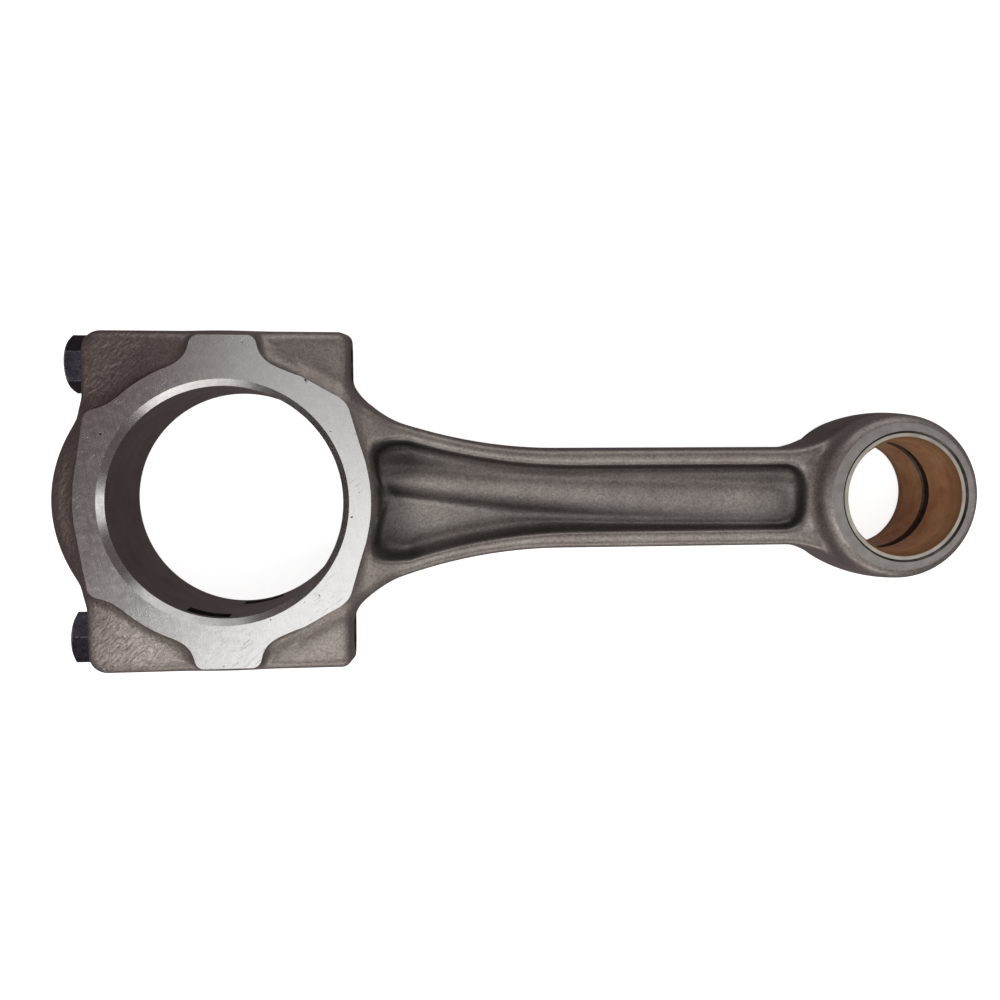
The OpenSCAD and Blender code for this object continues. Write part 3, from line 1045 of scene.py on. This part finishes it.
def make_bolt(index, y, mats):
    """Cap bolt: hexagon with turned-off corners and a washer face, fused to its shank."""
    node = f"cap_bolt_{index}"
    low = np.array(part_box(node)[0]) / MM
    head_h = -SEAT_X - low[0]
    spin_degrees = HEAD_SPIN[index]
    mat = mats["black_oxide"]
    place = along((-SEAT_X, y, 0), (-1, 0, 0))
    spin = Matrix.Rotation(math.radians(spin_degrees), 4, "Z")
    corner_r = ACROSS_FLATS / math.sqrt(3)
    hexagon = revolved(node + "_hex", [(corner_r, 0), (corner_r, head_h)], mat,
                       place=place @ spin, segments=6)
    rim = ACROSS_FLATS / 2 - 0.4
    slope = math.tan(math.radians(30))
    washer_r, washer_h, clear_r = ACROSS_FLATS / 2 - 0.15, 0.35, corner_r + 1
    cone = [
        (washer_r, 0), (washer_r, washer_h), (clear_r, washer_h + 0.9),
        (clear_r, head_h - (clear_r - rim) * slope), (rim, head_h), (rim - 1.3, head_h),
        (rim - 1.9, head_h - 0.25),
    ]
    turned = revolved(node + "_turned", cone, mat, place=place, segments=96)
    shank = make_bolt_shank(node + "_shank", -SEAT_X, y, mat)
    machine(hexagon, [turned], "INTERSECT")
    machine(hexagon, [shank], "UNION")
    hexagon.name = f"hex_bolt_{index}"
    finish_shading(hexagon, soft=(), angle=24)
    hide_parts(node)
    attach(hexagon, f"bolt_{index}")


def make_dowel(index, y, mats):
    """Straight dowel with chamfered ends."""
    half_l, edge = 6.0, 0.5
    z = math.copysign(DOWEL_Z, y)
    r = DOWEL_R - 0.001
    profile = [(r - edge, -half_l), (r, edge - half_l), (r, half_l - edge), (r - edge, half_l)]
    piece = revolved(f"dowel_{index}", profile, mats["dowel"],
                     place=along((0, y, z), (1, 0, 0)), segments=64)
    finish_shading(piece, soft=())
    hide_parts(f"cap_dowel_{index}")
    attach(piece, "rod")


# ---------------------------------------------------------------- camera, floor and light


def make_camera():
    """Hand-held view from above the shank, nearly square to the rod's plane."""
    position = Vector((45.58, 11.27, 250.4)) * MM
    turn = Vector((0.0471, 0.0979, 0.0071))
    world_to_camera = Matrix.Rotation(turn.length, 3, turn.normalized())
    data = bpy.data.cameras.new("camera")
    data.sensor_width = 36.0
    data.lens = 33.30
    data.clip_start = 0.01
    data.clip_end = 20.0
    camera = bpy.data.objects.new("camera", data)
    camera.matrix_world = Matrix.Translation(position) @ world_to_camera.transposed().to_4x4()
    bpy.context.scene.collection.objects.link(camera)
    bpy.context.scene.camera = camera


def make_floor(mats):
    """A large flat floor the rod lies on, and a round wall that hides its edge."""
    bm = bmesh.new()
    bmesh.ops.create_grid(bm, x_segments=2, y_segments=2, size=3.0)
    for v in bm.verts:
        v.co.z = -(HALF_W + 0.02) * MM
    floor = object_from_bmesh("floor", bm, mats["floor"])
    bm = bmesh.new()
    bmesh.ops.create_cone(bm, segments=96, radius1=2.9, radius2=2.9, depth=6.0)
    wall = object_from_bmesh("backdrop", bm, mats["floor"])
    wall.visible_shadow = False
    for part in (floor, wall):
        part.visible_glossy = False
        part.visible_diffuse = False


def soft_light(name, centre, turn, size, radiance, colour=(1, 1, 1)):
    """A rectangular softbox. Unturned it shines straight down; turn is in degrees about X, Y, Z."""
    data = bpy.data.lights.new(name, "AREA")
    data.shape = "RECTANGLE"
    data.size, data.size_y = size
    data.energy = radiance * math.pi * size[0] * size[1]
    data.color = colour
    light = bpy.data.objects.new(name, data)
    light.location = centre
    light.rotation_euler = [math.radians(v) for v in turn]
    bpy.context.scene.collection.objects.link(light)


def make_lights():
    """A broad softbox overhead, a window on the -Y side, weak panels beyond the small end."""
    soft_light("softbox", (0.15, -0.33, 1.0), (0, 0, -18), (0.80, 0.54), 1.48, (0.97, 1.0, 1.0))
    soft_light("spill", (0.14, 0.13, 1.0), (0, 0, 0), (0.66, 0.38), 0.58)
    soft_light("kicker", (-0.44, -0.62, 1.0), (0, 0, 0), (0.40, 0.44), 5.8)
    soft_light("panel", (0.92, -0.30, 1.0), (0, 0, 0), (0.85, 0.95), 0.80)
    soft_light("left", (-1.25, -0.30, 0.75), (0, -60, 0), (0.8, 1.2), 0.75)
    soft_light("right", (1.60, -0.05, 0.50), (0, 90, 0), (0.50, 0.50), 1.8)
    soft_light("back", (0.30, 1.40, 0.60), (-72, 0, 0), (1.8, 0.9), 1.1)
    soft_light("window", (0.10, -1.35, 0.27), (90, 0, 0), (1.3, 0.46), 2.0, (1.0, 0.98, 0.97))
    world = bpy.data.worlds.new("room")
    world.use_nodes = True
    background = world.node_tree.nodes["Background"]
    background.inputs["Color"].default_value = (1.0, 0.82, 0.84, 1)
    background.inputs["Strength"].default_value = 0.13
    bpy.context.scene.world = world
    view = bpy.context.scene.view_settings
    view.view_transform = "Standard"
    view.look = "None"
    view.exposure = 0.0


def main():
    makers = {
        "forged": forged_surface, "ground": ground_surface, "faced": faced_surface,
        "bored": bored_surface, "chamfer": chamfer_surface, "parting": parting_surface,
        "drilled": drilled_surface,
        "black_oxide": black_oxide_surface, "bush_steel": bush_steel_surface,
        "bronze": bronze_surface, "groove": groove_surface, "dowel": dowel_surface,
        "floor": floor_surface,
    }
    mats = {name: make() for name, make in makers.items()}
    make_camera()
    make_floor(mats)
    make_lights()
    make_rod_and_cap(mats)
    make_bush(mats)
    for index, side in ((1, 1), (2, -1)):
        make_bolt(index, side * BOLT_Y, mats)
        make_dowel(index, side * BOLT_Y, mats)


main()
